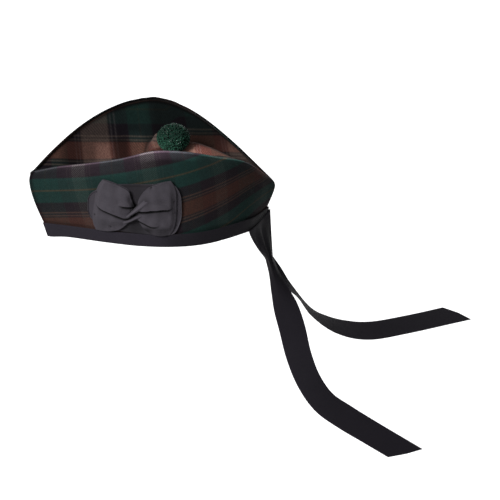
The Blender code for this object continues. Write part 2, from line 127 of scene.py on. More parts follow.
# The tails after their gather, as shares of their reach, of TAIL_WIDTH and of their drop.
LEFT_TAIL = table(
    "at    back  aside  down   half  cup    turn",
    (0.13, 0.043, 0.150, 0.173, 0.150, 0.330, 0.0),
    (0.19, 0.076, 0.230, 0.240, 0.200, 0.250, 0.0),
    (0.25, 0.110, 0.310, 0.307, 0.330, 0.140, 0.0),
    (0.32, 0.152, 0.400, 0.382, 0.480, 0.050, 0.0),
    (0.40, 0.193, 0.540, 0.470, 0.520, 0.020, 0.0),
    (0.50, 0.238, 0.690, 0.590, 0.510, 0.030, 6.0),
    (0.60, 0.310, 0.760, 0.702, 0.500, 0.040, 8.0),
    (0.70, 0.420, 0.830, 0.800, 0.500, 0.030, 4.0),
    (0.80, 0.580, 0.880, 0.876, 0.510, 0.020, 0.0),
    (0.90, 0.774, 0.960, 0.956, 0.500, 0.010, 0.0),
    (1.00, 1.038, 1.040, 1.063, 0.500, 0.000, 0.0),
)
RIGHT_TAIL = table(
    "at    back  aside  down   half  cup    turn",
    (0.15, 0.032, 0.020, 0.330, 0.150, -0.300, 0.0),
    (0.22, 0.070, -0.080, 0.430, 0.190, -0.220, 20.0),
    (0.30, 0.120, -0.230, 0.560, 0.270, -0.120, 56.0),
    (0.40, 0.199, -0.380, 0.709, 0.410, -0.040, 84.0),
    (0.50, 0.290, -0.540, 0.865, 0.460, 0.020, 70.0),
    (0.62, 0.420, -0.690, 0.996, 0.480, 0.030, 49.0),
    (0.75, 0.565, -0.770, 1.056, 0.500, 0.010, 41.0),
    (0.87, 0.745, -0.770, 1.038, 0.500, -0.010, 41.0),
    (1.00, 1.012, -0.690, 0.978, 0.500, 0.000, 41.0),
)
# How far each tail's gather spreads round the rim, and how far down, back and along it hangs.
TAIL_SIZES = {
    -1: {"spread": 0.150, "drop": 0.254, "reach": 0.145, "length": 0.303},
    1: {"spread": 0.080, "drop": 0.138, "reach": 0.218, "length": 0.277},
}
# How slanted the cut ends are, and from where along a tail the slant grows.
TAIL_END = {"slant": 0.52, "slant_from": 0.8}
# Where a tail leaves the binding: how high on it, at its outer edge and by the back seam, how soon
# it hangs, and how far its corner by the seam stands out and up.
TAIL_START = {"near": 0.12, "seam": 0.62, "hang": 1.25, "out": 0.0022, "up": 0.0036}

# The cockade, in metres along the wall and up it from the bow's middle. Each loop runs from the
# knot (at 0) to its outer fold (at 1), and `puff` is how far its ribbon stands off the wall.
KNOT_ALONG = 0.0043
BOW_NET = {"step": 0.002, "along": 31, "down": 15, "up": 17}     # the places measured under it
LEFT_LOOP = table(
    "at    high_along high_up low_along low_up puff",
    (0.00, 0.0048, 0.0035, 0.0042, -0.0075, 0.0010),
    (0.20, 0.0010, 0.0120, -0.0025, -0.0140, 0.0026),
    (0.40, -0.0016, 0.0200, -0.0085, -0.0198, 0.0038),
    (0.60, -0.0123, 0.0250, -0.0155, -0.0230, 0.0042),
    (0.80, -0.0200, 0.0276, -0.0245, -0.0242, 0.0036),
    (1.00, -0.0270, 0.0290, -0.0338, -0.0245, 0.0022),
)
RIGHT_LOOP = table(
    "at    high_along high_up low_along low_up puff",
    (0.00, 0.0062, 0.0035, 0.0046, -0.0070, 0.0010),
    (0.20, 0.0084, 0.0112, 0.0092, -0.0138, 0.0026),
    (0.40, 0.0130, 0.0185, 0.0146, -0.0200, 0.0038),
    (0.60, 0.0200, 0.0240, 0.0212, -0.0240, 0.0042),
    (0.80, 0.0291, 0.0274, 0.0292, -0.0255, 0.0036),
    (1.00, 0.0392, 0.0290, 0.0368, -0.0248, 0.0022),
)
OUTER_BULGE = 0.0060     # how far a loop's outer fold is bowed past its corners
# The backing, from its left end to its right one.
BACKING = table(
    "at    along  high_up low_up",
    (0.00, -0.0428, 0.0070, -0.0050),
    (0.08, -0.0400, 0.0130, -0.0120),
    (0.20, -0.0320, 0.0185, -0.0190),
    (0.35, -0.0170, 0.0245, -0.0225),
    (0.65, 0.0220, 0.0262, -0.0250),
    (0.80, 0.0400, 0.0255, -0.0245),
    (0.92, 0.0468, 0.0180, -0.0140),
    (1.00, 0.0486, 0.0080, -0.0030),
)

# The creases pressed into each loop: how far out from the knot and how far up each place is, and
# how far the ribbon over the crease stands in front of the ribbon under it.
LEFT_CREASES = (
    table("at     up      step",
          (0.0040, -0.0078, 0.0012),
          (0.0091, -0.0078, 0.0030),
          (0.0128, -0.0064, 0.0038),
          (0.0205, -0.0036, 0.0040),
          (0.0281, -0.0014, 0.0032),
          (0.0331, 0.0004, 0.0018),
          (0.0390, 0.0040, 0.0000)),
    table("at     up      step",
          (0.0000, 0.0034, 0.0010),
          (0.0040, 0.0037, 0.0022),
          (0.0095, 0.0043, 0.0018),
          (0.0150, 0.0050, 0.0000)),
)
RIGHT_CREASES = (
    table("at     up      step",
          (0.0030, 0.0000, 0.0018),
          (0.0068, 0.0005, 0.0034),
          (0.0120, 0.0011, 0.0034),
          (0.0174, 0.0016, 0.0028),
          (0.0267, 0.0021, 0.0022),
          (0.0328, 0.0018, 0.0012),
          (0.0365, 0.0042, 0.0000)),
    table("at     up      step",
          (0.0000, -0.0082, 0.0016),
          (0.0045, -0.0100, 0.0026),
          (0.0086, -0.0118, 0.0026),
          (0.0147, -0.0147, 0.0022),
          (0.0190, -0.0155, 0.0014),
          (0.0240, -0.0150, 0.0000)),
)
# Where thread holds the cockade down, along and up.
TACKS = ((-0.0352, -0.0080), (-0.0338, 0.0160), (-0.0183, -0.0190), (0.0418, 0.0089),
         (0.0422, -0.0026), (0.0205, 0.0236))
# The two ribbons twisted round each other at the knot: where each one's middle runs, half its
# width and how far it stands off the wall.
UPPER_TWIST = table(
    "at    along   up      half    stand",
    (0.00, -0.0052, -0.0070, 0.0020, 0.0040),
    (0.20, -0.0020, -0.0060, 0.0018, 0.0076),
    (0.42, 0.0022, -0.0024, 0.0018, 0.0092),
    (0.60, 0.0070, 0.0016, 0.0026, 0.0094),
    (0.80, 0.0122, 0.0060, 0.0037, 0.0090),
    (1.00, 0.0176, 0.0104, 0.0050, 0.0070),
)
LOWER_TWIST = table(
    "at    along   up      half    stand",
    (0.00, -0.0100, -0.0128, 0.0028, 0.0034),
    (0.25, -0.0042, -0.0124, 0.0018, 0.0062),
    (0.50, 0.0012, -0.0100, 0.0014, 0.0074),
    (0.75, 0.0064, -0.0068, 0.0018, 0.0080),
    (1.00, 0.0120, -0.0050, 0.0030, 0.0058),
)

# Where the gold line of the near side's cloth runs, in metres over the rim, and how much closer
# together its stripes lie than in flat cloth.
NEAR_STRIPES = table(
    "at    gold   closer",
    (0.000, 0.0465, 1.00),
    (0.125, 0.0500, 1.00),
    (0.250, 0.0545, 1.00),
    (0.375, 0.0610, 1.00),
    (0.475, 0.0665, 1.00),
    (0.595, 0.0720, 1.04),
    (0.700, 0.0765, 1.08),
    (0.790, 0.0790, 1.16),
    (0.880, 0.0800, 1.33),
    (1.000, 0.0800, 1.50),
)

# How the crown's cloth lies: places along the cap, and the place of the cloth there, from a gold
# line, on the near slope and on the far one.
CROWN_STRIPES = table(
    "at      near     far",
    (-0.1150, -0.0940, -0.0940),
    (-0.0960, -0.0790, -0.0790),
    (-0.0830, -0.0584, -0.0584),
    (-0.0675, -0.0427, -0.0427),
    (-0.0380, -0.0283, -0.0283),
    (-0.0173, -0.0126, -0.0126),
    (-0.0050, 0.0000, 0.0000),
    (0.0070, 0.0126, 0.0126),
    (0.0200, 0.0235, 0.0180),
    (0.0350, 0.0365, 0.0215),
    (0.0440, 0.0450, 0.0120),
    (0.0600, 0.0600, 0.0020),
    (0.0740, 0.0726, -0.0200),
    (0.0850, 0.0825, -0.0300),
    (0.1100, 0.1050, -0.0410),
)

# Painted highlights on stretches of the near ridge: the middle and reach of each along the cap, how
# much lighter it is painted, and from how far up the wall, and over how much of it, it grows.
PAINTED_RIDGE_LIGHTS = table(
    "along   reach  more  low    over",
    (0.002, 0.026, 1.9, 0.925, 0.05),
    (-0.055, 0.044, 0.7, 0.800, 0.14),
)

# The colours of the wools.
SIDE_WEFT = {
    "green": (0.0034, 0.0108, 0.0094),
    "navy": (0.0047, 0.0029, 0.0041),
    "rust": (0.0210, 0.0076, 0.0054),
    "tan": (0.0250, 0.0132, 0.0102),
    "gold": (0.0190, 0.0150, 0.0090),
}
SIDE_WARP = {
    "green": (0.0036, 0.0105, 0.0094),
    "navy": (0.0050, 0.0046, 0.0058),
    "rust": (0.0180, 0.0185, 0.0170),
    "tan": (0.0120, 0.0105, 0.0105),
    "gold": (0.0060, 0.0110, 0.0080),
}
# The crown's wools are the sides' cloth in other colours: its rust painted lighter and its green
# and navy darker, as painted light and shade on the crown.
CROWN_WEFT = {
    "green": (0.0030, 0.0085, 0.0072),
    "navy": (0.0024, 0.0017, 0.0027),
    "rust": (0.0500, 0.0182, 0.0132),
    "tan": (0.0330, 0.0240, 0.0200),
    "gold": (0.0070, 0.0095, 0.0060),
}
CROWN_WARP = {
    "green": (0.0026, 0.0075, 0.0064),
    "navy": (0.0024, 0.0017, 0.0027),
    "rust": (0.0385, 0.0275, 0.0232),
    "tan": (0.0200, 0.0170, 0.0180),
    "gold": (0.0050, 0.0080, 0.0060),
}
# The deep and the lighter colour of each ribbon and of the yarn.
BINDING_COLOURS = ((0.0058, 0.0049, 0.0072), (0.0088, 0.0074, 0.0106))
# The tails are the binding's ribbon, in colours painted darker for the shade they hang in.
SHADED_TAIL_COLOURS = ((0.0026, 0.0021, 0.0034), (0.0042, 0.0034, 0.0053))
COCKADE_COLOURS = ((0.0165, 0.0146, 0.0178), (0.0262, 0.0236, 0.0286))
YARN_COLOURS = ((0.0010, 0.0044, 0.0030), (0.0215, 0.0790, 0.0500))
# Half the sett, from a gold line to the middle of the rust: each stripe's wool and millimetres.
HALF_SETT = (("gold", 0.5), ("green", 12.1), ("navy", 10.3), ("tan", 0.9), ("navy", 2.2),
             ("tan", 0.9), ("navy", 1.4), ("rust", 7.2))
THREAD = 0.00055
NAP = 0.7                # how far, in millimetres, a wide stripe blends into the next
SIDE_SHIFT = -0.016      # where the sett starts on the sides
RIDGE_NAVY = -0.0222     # the last of the sett that shows on the left ridge


def read(source, name, at):
    """A smooth curve through one column of a table, read between its rows."""
    knots = source["at"]
    values = source[name]
    last = len(knots) - 1
    at = min(max(at, knots[0]), knots[last])
    i = 0
    while i < last - 1 and at > knots[i + 1]:
        i += 1

    def slope(j):
        low = max(j - 1, 0)
        high = min(j + 1, last)
        return (values[high] - values[low]) / (knots[high] - knots[low])

    span = knots[i + 1] - knots[i]
    t = (at - knots[i]) / span
    return ((2 * t ** 3 - 3 * t ** 2 + 1) * values[i]
            + (t ** 3 - 2 * t ** 2 + t) * span * slope(i)
            + (3 * t ** 2 - 2 * t ** 3) * values[i + 1]
            + (t ** 3 - t ** 2) * span * slope(i + 1))


def each_row(source):
    """A table's rows, one after the other."""
    return zip(*source.values())


def ease(t):
    """Goes from 0 to 1 with no corner at either end."""
    t = min(max(t, 0.0), 1.0)
    return t * t * (3 - 2 * t)


def nearness(x, middle, reach, power=2):
    """1 at the middle, falling to 0 past the reach; a power of 4 keeps it level for longer."""
    return math.exp(-((x - middle) / reach) ** power)


def waves(point, size, seed):
    """A soft unevenness of about -1 to 1, whose swells are of the given size."""
    return noise.noise(point / size + Vector((seed, 0.0, 0.0)))


def finished_mesh(name, form):
    """The mesh of a form that needs no more work."""
    mesh = bpy.data.meshes.new(name)
    form.to_mesh(mesh)
    form.free()
    return mesh


def placed_object(name, data):
    """An object in the scene."""
    made = bpy.data.objects.new(name, data)
    bpy.context.scene.collection.objects.link(made)
    return made


def shaped_grid(name, size, place, cloth, shade, weave=None, flip=False, closed=False):
    """A grid whose vertices go where place(u, v) says, laid out on the cloth as cloth(u, v) says
    and with the painted light and shade of shade(u, v). Its threads are counted along weave(u, v)."""
    form = bmesh.new()
    bmesh.ops.create_grid(form, x_segments=size[0], y_segments=size[1], size=0.5)
    laid = form.loops.layers.uv.new("cloth")
    counted = form.loops.layers.uv.new("weave")
    tone = form.verts.layers.float.new("shade")
    flat = {}
    threads = {}
    for vertex in form.verts:
        u = vertex.co.x + 0.5
        v = vertex.co.y + 0.5
        flat[vertex] = cloth(u, v)
        threads[vertex] = weave(u, v) if weave else flat[vertex]
        vertex[tone] = shade(u, v)
        vertex.co = place(u, v)
    for face in form.faces:
        for corner in face.loops:
            corner[laid].uv = flat[corner.vert]
            corner[counted].uv = threads[corner.vert]
    if flip:
        bmesh.ops.reverse_faces(form, faces=form.faces)
    if closed:
        bmesh.ops.remove_doubles(form, verts=form.verts, dist=1e-6)
        bmesh.ops.recalc_face_normals(form, faces=form.faces)
    return finished_mesh(name, form)


def piece(name, mesh, material, slot, *nodes, thickness=0.0, outwards=-1.0, smooth_angle=60.0):
    """A finished piece that rides on the cap and stands for the given solids. A sheet is given
    its thickness, inwards from its outer face unless outwards says otherwise."""
    mesh.materials.append(material)
    mesh.shade_smooth()
    mesh.set_sharp_from_angle(angle=math.radians(smooth_angle))
    made = placed_object(name, mesh)
    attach(made, "root")
    if nodes:
        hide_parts(*nodes)
    if thickness:
        solid = made.modifiers.new("thickness", "SOLIDIFY")
        solid.thickness = thickness
        solid.offset = outwards
        solid.use_even_offset = False
    return made


@lru_cache(maxsize=None)
def rim_point(side, u):
    """The rim's lower edge, outside the cloth."""
    return Vector((RIM_LENGTH * read(SIDES, "rim_along", u),
                   side * RIM_WIDTH * read(SIDES, "rim_half", u),
                   -RIM_DIP * ease((u - DIP_FROM) / (1 - DIP_FROM))))


@lru_cache(maxsize=None)
def ridge_point(side, u):
    """The ridge where a side wall meets the crown."""
    hand = HANDS[side]
    height = LEFT_HEIGHT if side < 0 else RIGHT_HEIGHT
    return Vector((CAP_LENGTH * read(SIDES, hand + "_along", u),
                   side * RIDGE_WIDTH * read(SIDES, hand + "_half", u),
                   height * read(SIDES, hand + "_up", u)))


def wall_point(side, u, v):
    """A side wall's outer face: u runs from front to back, v from the rim up to the ridge."""
    point = rim_point(side, u).lerp(ridge_point(side, u), v)
    turn = math.pi * u
    out = Vector((-math.cos(turn), side * math.sin(turn), 0.0))
    return point + out * BELLY * read(WALL_PROFILE, "out", v)


def wall_height(side, u):
    """How high a wall's ridge stands over the rim."""
    return ridge_point(side, u).z - rim_point(side, u).z


def share_at_height(side, u, height):
    """How far up a wall a height over the rim lies."""
    return height / wall_height(side, u)


def outward(side, u, v):
    """The level direction that faces out of a side wall."""
    step = 0.01
    run = wall_point(side, min(u + step, 1.0), v) - wall_point(side, max(u - step, 0.0), v)
    return Vector((-side * run.y, side * run.x, 0.0)).normalized()


def running_lengths(stops):
    """How far along a run of stops each one lies."""
    done = [0.0]
    for here, there in zip(stops, stops[1:]):
        done.append(done[-1] + (there - here).length)
    return done


def side_wall(side, material):
    """One side: its outer face, the soft roll along its ridge and its seams."""
    columns = 200
    face = 0.84                        # the share of the grid that is the flat face
    whole_turn = math.radians(125)     # how far round the ridge's roll goes
    bottom = RIBBON + GAP + 0.0008     # where the cloth starts, inside the binding
    roll = ROLLS[side]
    # The roll's painted tone: painted light on the left ridge's roll, painted shade on the right
    # one's.
    painted_roll_tone = 0.30 if side > 0 else 1.25
    done = running_lengths([wall_point(side, i / columns, 0.5) for i in range(columns + 1)])

    def split(v):
        """The share of the flat face, and the angle round the ridge's roll."""
        if v <= face:
            return v / face, 0.0
        return 1.0, (v - face) / (1 - face) * whole_turn

    def place(u, v):
        up, turn = split(v)
        height = wall_height(side, u)
        low = bottom / height
        top = 1 - roll / height
        share = low + (top - low) * up
        point = wall_point(side, u, share)
        out = outward(side, u, share)
        if turn:
            centre = point - out * roll
            point = centre + out * roll * math.cos(turn)
            point.z += roll * math.sin(turn)
        middle = math.sin(math.pi * u)
        point += out * RIDGE_SWELL * nearness(height * (1 - share), 0.006, 0.004) * middle
        broad, small = WALL_SWELLS
        swell = broad * waves(point, 0.055, side) + small * waves(point, 0.018, 5)
        point += out * middle * ease(share * 5) * (1 - 0.5 * share) * swell
        point -= out * SEAM_PULL * nearness(min(u, 1 - u), 0.0, 0.006)
        by_pompom = nearness(point.x, POMPOM_MIDDLE.x, 0.024, 4)
        lumps = RIDGE_LUMPS * waves(point, 0.009, 12) * by_pompom * math.exp(-(1 - share) / 0.05)
        point += out * lumps + Vector((0.0, 0.0, 0.7 * lumps))
        point.x -= FRONT_BULGE * nearness(u, 0.0, 0.04) * math.sin(math.pi * min(share, 1.0))
        point.y = side * max(side * point.y, GAP / 2)
        return point

    def up_the_cloth(u, v):
        """How far up the cloth a place lies from its lower edge."""
        up, turn = split(v)
        return (wall_height(side, u) - roll - bottom) * up + roll * turn

    def cloth(u, v):
        below_gold = read(NEAR_STRIPES, "gold", u) - bottom - up_the_cloth(u, v)
        across = below_gold * read(NEAR_STRIPES, "closer", u)
        if side < 0:
            across = max(across, RIDGE_NAVY)
        return done[round(u * columns)] + SIDE_SHIFT, across

    def weave(u, v):
        return done[round(u * columns)], up_the_cloth(u, v)

    # Painted light and shade on the side's cloth: a painted shadow just over the binding, the
    # roll's painted tone, and on the left side painted highlights along the ridge and its roll's
    # top and painted shade at the front seam.
    def shade(u, v):
        up, turn = split(v)
        over_binding = wall_height(side, u) * up - BINDING_HEIGHT
        binding_shadow = 0.45 * nearness(over_binding, 0.0, 0.0015)
        on_roll = ease((up - 0.97) / 0.03)
        tone = (1 - binding_shadow) * (1 + (painted_roll_tone - 1) * on_roll)
        if side < 0:
            at = ridge_point(side, u).x
            for along, reach, more, low, over in each_row(PAINTED_RIDGE_LIGHTS):
                tone *= 1 + more * nearness(at, along, reach, 4) * ease((up - low) / over)
            ridge_top_highlight = 3.5 * nearness(turn, 0.95, 0.34)
            front_seam_shade = 0.75 * nearness(u, 0.0, 0.014)
            tone *= (1 + ridge_top_highlight) * (1 - front_seam_shade)
        return tone

    name = HANDS[side] + "_cloth"
    mesh = shaped_grid(name, (columns, 60), place, cloth, shade, weave, flip=side > 0)
    piece(name, mesh, material, "tartan", "side_" + HANDS[side], thickness=CLOTH)


@lru_cache(maxsize=None)
def crown_edge(side, u):
    """The crown's edge, tucked under the roll of a wall's ridge."""
    edge = ridge_point(side, u) - outward(side, u, 1.0) * CLOTH / 2
    edge.z -= ROLLS[side] + GAP
    return edge


def hump_share(point):
    """How near a place of the crown is to the hump beside the pompom, from 0 to 1."""
    along = ((point.x - POMPOM_MIDDLE.x) / POMPOM_RADIUS - HUMP["along"]) / HUMP["long"]
    across = (point.y / POMPOM_RADIUS - HUMP["across"]) / HUMP["wide"]
    return math.exp(-along ** 2 - across ** 2)


def crown_point(u, v):
    """The crown's upper face: u from front to back, v from the left ridge to the right one."""
    left = crown_edge(-1, u)
    right = crown_edge(1, u)
    feet = table(
        "at   share height",
        (0.0, 0.0, left.z),
        (0.3, CROWN_FEET["left"], RIGHT_HEIGHT * read(CROWN, "left_foot", u)),
        (0.5, 0.5, RIGHT_HEIGHT * read(CROWN, "middle", u)),
        (0.7, CROWN_FEET["right"], RIGHT_HEIGHT * read(CROWN, "right_foot", u)),
        (1.0, 1.0, right.z),
    )
    point = left.lerp(right, read(feet, "share", v))
    point.z = read(feet, "height", v)
    point.z += POMPOM_RADIUS * HUMP["rise"] * hump_share(point)
    return point


def crown(material):
    """The crown: one sheet, folded down from both ridges in a pleat and gathered at the pompom."""
    front = 0.022
    back = 0.997
    closed_from = 0.955
    seam_margin = 0.010
    half_sett = 0.0355
    gold_level = 0.1160      # where a gold line lies on the far slope
    closer = 0.84            # how much closer together the stripes lie there than in flat cloth
    near_run = 0.11          # how far the stripes go on down the near slope
    behind_shift = 0.007     # how far they lie lower on the far slope behind the pompom
    hump_shift = 0.021       # how far along they lie on the hump

    def surface(u, v):
        return crown_point(front + (back - front) * u, v)

    def place(u, v):
        point = surface(u, v)
        at = front + (back - front) * u
        if at > closed_from:
            seam = crown_edge(-1, at).z * (1 - v) + crown_edge(1, at).z * v
            closed = ease((at - closed_from) / 0.02)
            point.z += closed * (min(point.z, seam) - point.z)
        away = Vector((point.x - POMPOM_MIDDLE.x, point.y, 0.0))
        gather = GATHER_DEPTH * nearness(away.length, 0.015, 0.009)
        point.z += gather * math.cos(GATHERS * math.atan2(away.y, away.x))
        broad, small = CROWN_SWELLS
        swell = broad * waves(point, 0.040, 2) + small * waves(point, 0.013, 7)
        point.z += math.sin(math.pi * u) * math.sin(math.pi * v) * swell
        return point

    def cloth(u, v):
        point = surface(u, max(v, 0.5))
        far_slope = ease((v - 0.5) / 0.06)
        across = closer * (gold_level - point.dot(LEVEL))
        across += behind_shift * far_slope * ease((point.x - 0.022) / 0.016)
        if v < 0.5:
            across += (0.5 - v) * near_run
        if v > 1 - seam_margin:
            across = half_sett
        raised = ease((hump_share(surface(u, v)) - 0.25) / 0.2)
        near = read(CROWN_STRIPES, "near", point.x)
        far = read(CROWN_STRIPES, "far", point.x)
        return near + (far - near) * far_slope + hump_shift * raised, across

    def weave(u, v):
        return surface(u, v).x, 0.085 * v

    # Painted light and shade on the crown: a painted shadow under the right ridge's seam, the mound
    # beside and behind the pompom and the hump painted lighter, painted shade round the hump's
    # foot, the far slope behind the pompom painted darker high up and lighter low down, and painted
    # light and shade along folds of the far slope.
    def shade(u, v):
        point = surface(u, v)
        x = point.x
        level = point.dot(LEVEL)
        round_hump = hump_share(point)
        under_seam = ease((v - (1 - 3 * seam_margin)) / (1.5 * seam_margin))
        seam_shadow = (0.85 - 0.35 * ease((-0.020 - x) / 0.030)) * under_seam
        far_slope = 1 - ease((0.5 - v) / 0.04)
        mound = (1 - far_slope) * ease((v - 0.20) / 0.12)
        mound_light_and_slope_shade = 3.2 * mound - (0.55 - 0.85 * ease((0.092 - level) / 0.020)) * far_slope
        light_and_shade_behind_pompom = mound_light_and_slope_shade * ease((x + 0.002) / 0.020)
        hump_light = 0.35 * ease((round_hump - 0.25) / 0.3)
        hump_foot_shade = 0.6 * nearness(round_hump, 0.14, 0.10) * ease((0.020 - x) / 0.004)
        lit_fold = 0.9 * nearness(x, -0.0450, 0.0090, 4) * ease((0.086 - level) / 0.010)
        shaded_fold = 0.55 * nearness(x, -0.0263, 0.0085, 4)
        fold_highlight = 0.7 * nearness(x, -0.0105, 0.0075, 4) * ease((0.096 - level) / 0.006)
        far_front_light_and_shade = 0.30 * ease((-0.064 - x) / 0.006) - 0.96 * ease((-0.082 - x) / 0.014)
        folds = (lit_fold - shaded_fold - far_front_light_and_shade) * ease((0.089 - level) / 0.006) + fold_highlight
        tone = (1 - seam_shadow) * (1 + light_and_shade_behind_pompom) * (1 + hump_light) * (1 - hump_foot_shade)
        return tone * (1 + folds * ease((v - 0.44) / 0.06))

    mesh = shaped_grid("crown_cloth", (220, 130), place, cloth, shade, weave)
    piece("crown_cloth", mesh, material, "tartan", "crown", thickness=CROWN_CLOTH)


# The ribbon round the rim.


def rim_ring(height, count):
    """Points round the rim at one height, with the mitred outward direction at each."""
    stops = [(-1, i / count) for i in range(count)] + [(1, 1 - i / count) for i in range(count)]
    points = [wall_point(side, u, share_at_height(side, u, height)) for side, u in stops]
    ring = []
    for i, point in enumerate(points):
        before = point - points[i - 1]
        after = points[(i + 1) % len(points)] - point
        first = Vector((before.y, -before.x, 0.0)).normalized()
        second = Vector((after.y, -after.x, 0.0)).normalized()
        mitre = (first + second) / (1 + first.dot(second))
        ring.append((point, mitre * min(1.1 / mitre.length, 1.0)))
    return ring


def rim_binding(material):
    """The ribbon folded over the rim all the way round, its woven edges turned to the cloth."""
    half = 120
    count = 2 * half
    leaning = 1.12           # how much thicker a leaning wall is when it is cut level
    outer = SLACK + RIBBON
    inner = -(CLOTH * leaning + SLACK + RIBBON)
    top = BINDING_HEIGHT
    bend = 0.0008
    # One leg's section, in from its face and up: down its hidden side from its woven edge, and
    # down its face to the bend.
    hidden = ((0.0002, top - 0.0001), (0.0005, top), (RIBBON - 0.0002, top - 0.0004),
              (RIBBON, RIBBON))
    face = ((0.0, top - 0.0012), (0.0, 0.6 * top), (0.0, 0.3 * top), (0.0, bend),
            (0.4 * bend, 0.35 * bend), (bend, 0.0))
    section = [(outer - deep, high) for deep, high in hidden]
    section += [(inner + deep, high) for deep, high in hidden[::-1] + face]
    section += [(outer - deep, high) for deep, high in face[::-1]]
    rings = [rim_ring(high, half) for out, high in section]
    around = running_lengths([point for point, out in rings[0] + rings[0][:1]])

    def place(u, v):
        row = round(v * len(section)) % len(section)
        point, direction = rings[row][round(u * count) % count]
        out, high = section[row]
        moved = point + direction * out
        ripple = 0.00025 * waves(moved, 0.012, 9)
        moved += direction.normalized() * ripple
        moved.z -= CORNER_DROP * nearness(min(u, 1 - u), 0.0, 0.03) * (1 - high / top)
        return moved

    def cloth(u, v):
        return around[round(u * count)], v * 4 * BINDING_HEIGHT

    # Painted shade on the binding: darker from behind the bow round the back and along the right
    # side, and darker still at the back seam.
    def shade(u, v):
        shade_past_bow = 0.42 * ease((u - 0.225) / 0.05)
        back = 0.25 * nearness(u, 0.5, 0.07)
        return 1 - shade_past_bow - back

    mesh = shaped_grid("rim_ribbon", (count, len(section)), place, cloth, shade, closed=True)
    piece("rim_ribbon", mesh, material, "black_ribbon", "rim_binding", smooth_angle=70.0)


# The tails.


def tail_point(side, s, w):
    """A hanging ribbon's middle layer: s along it from its gather, w across from -1 to 1."""
    source = LEFT_TAIL if side < 0 else RIGHT_TAIL
    drop = TAIL_SIZES[side]["drop"]
    reach = TAIL_SIZES[side]["reach"]
    seam = rim_point(1, 1.0)

    def centre(at):
        return Vector((seam.x + reach * read(source, "back", at),
                       -TAIL_WIDTH * read(source, "aside", at),
                       -drop * read(source, "down", at)))

    slant = TAIL_END["slant"] * TAIL_WIDTH / (drop + reach) * side * w
    slant_from = TAIL_END["slant_from"]
    at = s * (1 - slant * ease((s - slant_from) / (1 - slant_from)))
    run = (centre(min(at + 0.01, 1.0)) - centre(max(min(at, 1.0) - 0.01, 0.0))).normalized()
    overrun = max(at - 1.0, 0.0) * (drop + reach)
    level = FACING.cross(run).normalized()
    open_to = run.cross(level)
    turn = math.radians(read(source, "turn", s))
    across = level * math.cos(turn) + open_to * math.sin(turn)
    face = run.cross(across)
    return (centre(at) + run * overrun + across * w * TAIL_WIDTH * read(source, "half", s)
            + face * TAIL_WIDTH * read(source, "cup", s) * (1 - w * w))


def tail(side, material):
    """A ribbon that spreads from the back of the rim, gathers in folds and hangs free."""
    gather = LEFT_TAIL["at"][0] if side < 0 else RIGHT_TAIL["at"][0]
    spread = TAIL_SIZES[side]["spread"]
    length = TAIL_SIZES[side]["length"]
    stand = SLACK + RIBBON + 2 * GAP + RIBBON / 2

    def rim_edge(w):
        share = (w + 1) / 2
        corner = ease((share - 0.75) / 0.25)
        u = 1 - spread * (1 - share)
        height = BINDING_HEIGHT * (TAIL_START["near"] * (1 - share) + TAIL_START["seam"] * share)
        v = share_at_height(side, u, height)
        off = stand + TAIL_START["out"] * corner
        point = wall_point(side, u, v) + outward(side, u, v) * off
        point.z += TAIL_START["up"] * corner
        return point

    def place(u, v):
        w = 2 * v - 1
        pleat = PLEAT_DEPTH * math.cos(PLEATS * math.pi * v) * (1 - w * w)
        if u >= gather:
            point = tail_point(side, u, w)
            point += FACING * pleat * nearness(u, gather, 0.06)
            flutter = FLUTTER * waves(point, 0.05, side * 3) * ease((u - gather) * 4)
            return point + FACING * flutter
        share = u / gather
        top = rim_edge(w)
        end = tail_point(side, gather, w)
        point = top.lerp(end, share ** TAIL_START["hang"])
        point.z = top.z + (end.z - top.z) * share
        out = outward(side, 1 - spread * (1 - v), 0.1)
        return point + out * pleat * ease(share * 3)

    def cloth(u, v):
        return u * length, v * TAIL_WIDTH

    # Lighter along both edges, and a painted shadow in the folds of the gather.
    def shade(u, v):
        lighter_edges = 0.55 * nearness(min(v, 1 - v), 0.0, 0.045)
        fold = 0.5 + 0.5 * math.cos(PLEATS * math.pi * v)
        fold_shadow = 0.45 * fold * nearness(u, gather, 0.10)
        return (1 + lighter_edges) * (1 - fold_shadow)

    name = HANDS[side] + "_tail_ribbon"
    mesh = shaped_grid(name, (220, 48), place, cloth, shade)
    made = piece(name, mesh, material, "black_ribbon", "ribbon_tail_" + HANDS[side],
                 thickness=SHEET_RIBBON, outwards=0.0)


# The cockade.


def wall_at(along, height, guess=0.4):
    """The place on the left wall, as u and v, that lies at one point along the cap and height."""
    u = guess
    for _ in range(8):
        v = share_at_height(-1, u, height)
        u += (along - wall_point(-1, u, v).x) / CAP_LENGTH
    return u, share_at_height(-1, u, height)


def bow_stations():
    """Places along the wall through the bow's middle, one step apart to both sides of it."""
    stations = {}
    for way in (-1, 1):
        u, v = wall_at(BOW_ALONG, BOW_UP)
        here = wall_point(-1, u, v)
        stations[0] = (here.x, u)
        for i in range(1, BOW_NET["along"] + 1):
            ahead = wall_point(-1, u + 0.01, v)
            u += way * BOW_NET["step"] / ((ahead - here).length / 0.01)
            v = share_at_height(-1, u, BOW_UP)
            here = wall_point(-1, u, v)
            stations[way * i] = (here.x, u)
    return stations


def bow_ground():
    """The wall under the cockade as a net of places and outward directions."""
    net = {}
    for i, (x, guess) in bow_stations().items():
        for j in range(-BOW_NET["down"], BOW_NET["up"] + 1):
            u, v = wall_at(x, BOW_UP + j * BOW_NET["step"], guess)
            net[i, j] = (wall_point(-1, u, v), outward(-1, u, v))
    return net


def bow_point(ground, along, up, stand):
    """A point of the cockade: along and up the left wall from its middle, and off its face."""
    column = along / BOW_NET["step"]
    row = up / BOW_NET["step"]
    i = math.floor(column)
    j = math.floor(row)
    place = Vector()
    out = Vector()
    for n, near_row in ((j, 1 - (row - j)), (j + 1, row - j)):
        for m, near_column in ((i, 1 - (column - i)), (i + 1, column - i)):
            wall, outside = ground[m, n]
            place += wall * near_column * near_row
            out += outside * near_column * near_row
    return place + out.normalized() * (GAP + stand)


